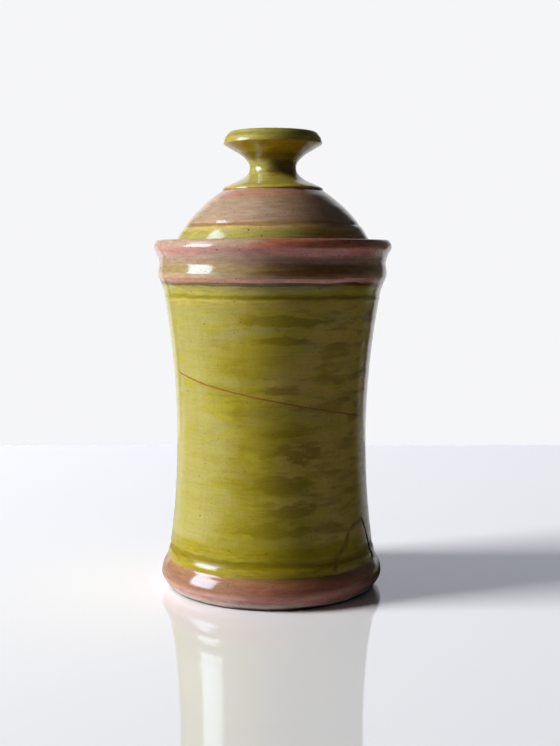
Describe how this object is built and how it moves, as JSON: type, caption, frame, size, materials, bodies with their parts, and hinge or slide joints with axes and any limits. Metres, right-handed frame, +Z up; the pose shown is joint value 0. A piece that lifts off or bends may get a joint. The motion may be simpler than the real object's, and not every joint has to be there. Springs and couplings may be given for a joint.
{
  "type": "lidded spice jar",
  "caption": "Round waisted earthenware jar with a flared foot and collar, and a domed lid with a flared knob that sits on a ledge inside the rim.",
  "frame": {"origin": "centre of the foot, on the table", "axes": "+Z up along the jar's axis, -Y towards the camera of the picture"},
  "size_m": [0.097, 0.097, 0.1858],
  "materials": {
    "jar_glaze": "glossy olive glaze over red clay",
    "lid_glaze": "glossy dusty rose glaze over red clay",
    "knob_glaze": "glossy olive glaze over red clay"
  },
  "bodies": {
    "jar": {"jar_body": "jar_glaze"},
    "lid": {"lid_dome": "lid_glaze", "lid_knob": "knob_glaze"}
  },
  "joints": [
    {"name": "lid_lift", "type": "slide", "parent": "jar", "child": "lid", "axis": [0, 0, 1], "range_m": [0, 0.08]}
  ]
}
